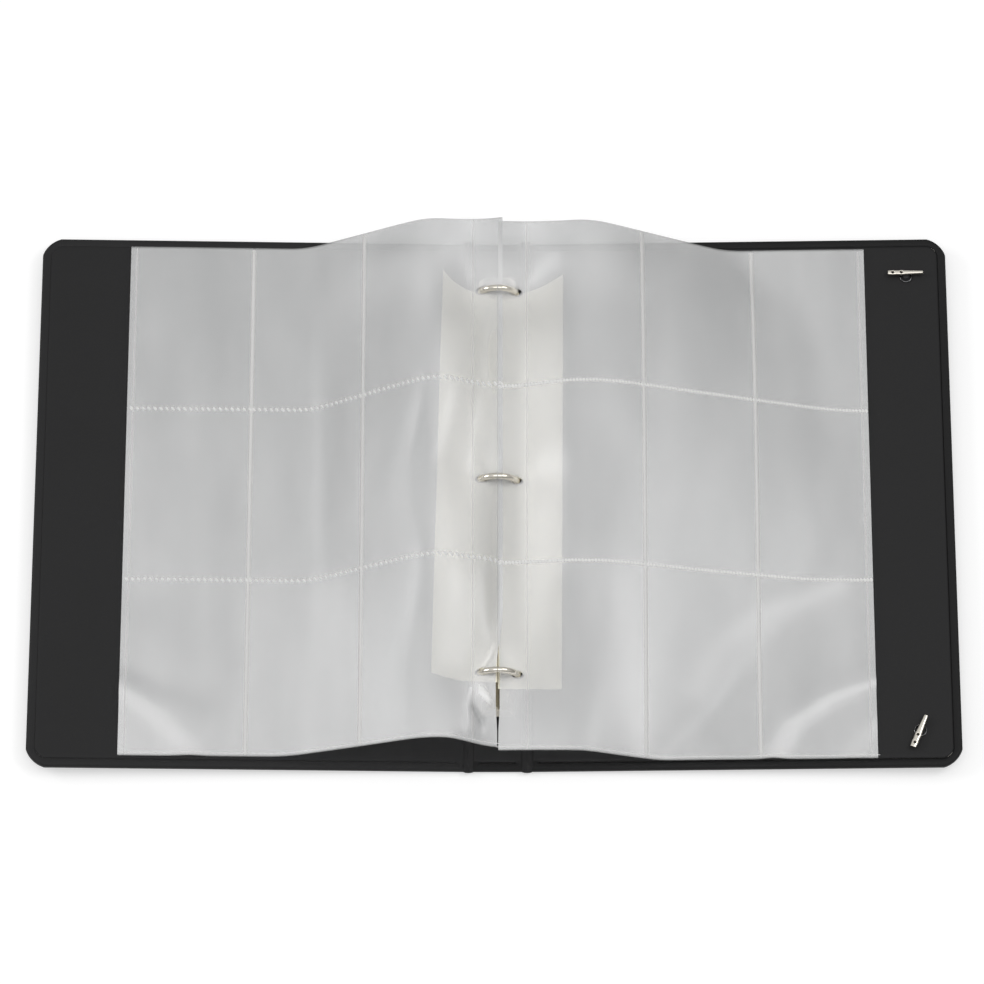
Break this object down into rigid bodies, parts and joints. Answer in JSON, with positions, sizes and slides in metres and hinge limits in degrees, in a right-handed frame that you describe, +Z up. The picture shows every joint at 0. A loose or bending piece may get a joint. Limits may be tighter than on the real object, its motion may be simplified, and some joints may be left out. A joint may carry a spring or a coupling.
{
  "type": "ring photo album",
  "caption": "Photo album lying open: cased leatherette covers on a creased spine, a ring mechanism that opens, clear pocket leaves and barbs that end an elastic closure.",
  "frame": {"origin": "under the middle of the spine, on the surface that the album lies on", "axes": "+X across the open album towards the back cover, +Y along the spine towards the top of the pages, +Z up"},
  "size_m": [0.478, 0.3019, 0.0522],
  "materials": {
    "leatherette": "fine grain, semi-matte",
    "lining": "fine grain, matte",
    "board": "raw grey board",
    "nickel": "bright nickel plate",
    "steel": "plain strip",
    "black_metal": "black, semi-gloss",
    "elastic": "braided",
    "film": "clear film, slightly hazed",
    "ivory": "satin film"
  },
  "bodies": {
    "spine": {"spine_outer_skin": "leatherette", "spine_board": "board", "spine_inner_liner": "lining", "ring_plate": "nickel", "upper_plate_rivet": "nickel", "lower_plate_rivet": "nickel", "upper_rivet_washer": "steel", "lower_rivet_washer": "steel", "front_hinge_web": "leatherette", "back_hinge_web": "leatherette", "left_sheet_lifter": "ivory", "right_sheet_lifter": "ivory", "left_top_leaf_inner": "film", "left_second_leaf": "film", "left_third_leaf": "film", "right_top_leaf_inner": "film", "right_second_leaf": "film", "right_third_leaf": "film"},
    "front_cover": {"front_outer_skin": "leatherette", "front_board": "board", "front_inner_liner": "lining"},
    "back_cover": {"back_outer_skin": "leatherette", "back_board": "board", "back_inner_liner": "lining", "upper_eyelet": "black_metal", "lower_eyelet": "black_metal", "upper_elastic_end": "elastic", "lower_elastic_end": "elastic"},
    "left_rings": {"left_rail": "steel", "top_left_half_ring": "nickel", "middle_left_half_ring": "nickel", "bottom_left_half_ring": "nickel"},
    "right_rings": {"right_rail": "steel", "top_right_half_ring": "nickel", "middle_right_half_ring": "nickel", "bottom_right_half_ring": "nickel"},
    "left_leaf": {"left_top_leaf_outer": "film"},
    "right_leaf": {"right_top_leaf_outer": "film"},
    "upper_barb": {"upper_barb": "nickel"},
    "lower_barb": {"lower_barb": "nickel"}
  },
  "joints": [
    {"name": "front_cover_hinge", "type": "hinge", "parent": "spine", "child": "front_cover", "pos_m": [-0.015, 0, 0.0035], "axis": [0, 1, 0], "range_deg": [-30, 86.3], "deforming": ["front_hinge_web", "left_sheet_lifter", "left_top_leaf_inner", "left_second_leaf", "left_third_leaf"]},
    {"name": "back_cover_hinge", "type": "hinge", "parent": "spine", "child": "back_cover", "pos_m": [0.015, 0, 0.0035], "axis": [0, -1, 0], "range_deg": [-30, 86.3], "deforming": ["back_hinge_web", "right_sheet_lifter", "right_top_leaf_inner", "right_second_leaf", "right_third_leaf"]},
    {"name": "left_ring_open", "type": "hinge", "parent": "spine", "child": "left_rings", "pos_m": [-0.0093, 0, 0.00565], "axis": [0, 1, 0], "range_deg": [-9, 0]},
    {"name": "right_ring_open", "type": "hinge", "parent": "spine", "child": "right_rings", "pos_m": [0.0093, 0, 0.00565], "axis": [0, 1, 0], "range_deg": [0, 9]},
    {"name": "left_leaf_lift", "type": "hinge", "parent": "front_cover", "child": "left_leaf", "pos_m": [-0.1288, 0, 0.00978], "axis": [0, -1, 0], "range_deg": [-140, 0], "deforming": ["left_top_leaf_outer"]},
    {"name": "right_leaf_lift", "type": "hinge", "parent": "back_cover", "child": "right_leaf", "pos_m": [0.1342, 0, 0.02155], "axis": [0, 1, 0], "range_deg": [-140, 0], "deforming": ["right_top_leaf_outer"]},
    {"name": "upper_barb_swivel", "type": "hinge", "parent": "back_cover", "child": "upper_barb", "pos_m": [0.21591, 0.1264, 0.00946], "axis": [-0.0297, 0, 0.9996], "continuous": true},
    {"name": "lower_barb_swivel", "type": "hinge", "parent": "back_cover", "child": "lower_barb", "pos_m": [0.21591, -0.1313, 0.00946], "axis": [-0.0297, 0, 0.9996], "continuous": true}
  ],
  "couplings": [
    {"joint": "right_ring_open", "follows": "left_ring_open", "ratio": -1}
  ]
}
